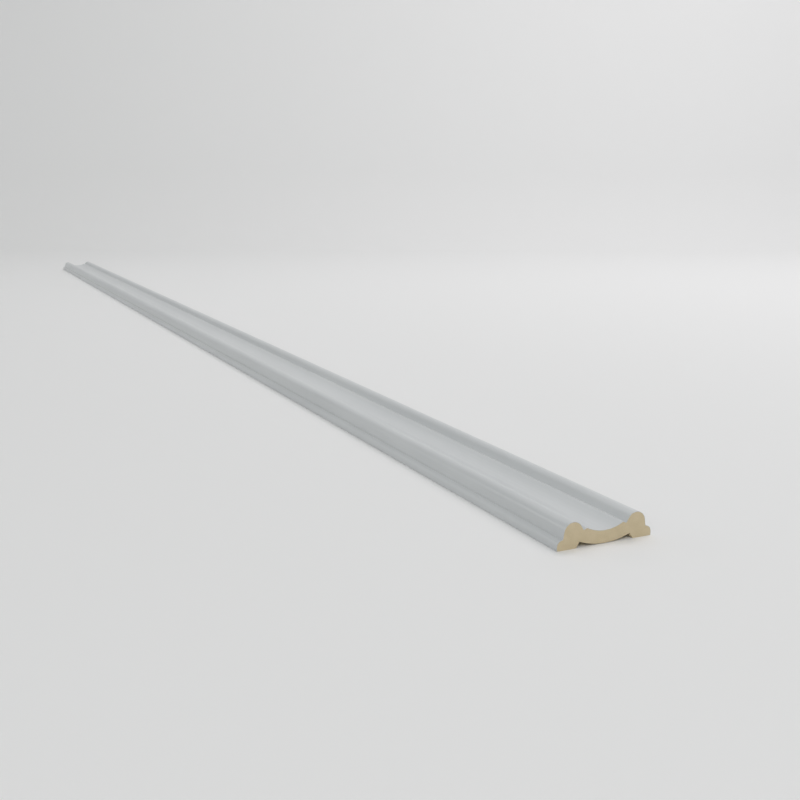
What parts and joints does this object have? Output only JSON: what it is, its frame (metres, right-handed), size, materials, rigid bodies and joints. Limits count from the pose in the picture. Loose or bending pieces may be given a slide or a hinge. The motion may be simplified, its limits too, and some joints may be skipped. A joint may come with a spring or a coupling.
{
  "type": "panel moulding",
  "caption": "Straight length of wall panel moulding: a shallow cove between rounded beads, with stepped quarter-round edges and a relieved back, glued on to frame a panel.",
  "frame": {"origin": "middle of the length and of the width, on the plane of the back that is glued to the wall", "axes": "+X along the length, +Y across the width, +Z out of the wall, towards the moulded face"},
  "size_m": [2, 0.066, 0.016],
  "materials": {
    "primed_foam": "rigid foam with a factory primer, pale cool grey and matt, bare and tan on the back and the sawn ends"
  },
  "bodies": {
    "root": {"panel_moulding": "primed_foam"}
  },
  "joints": []
}
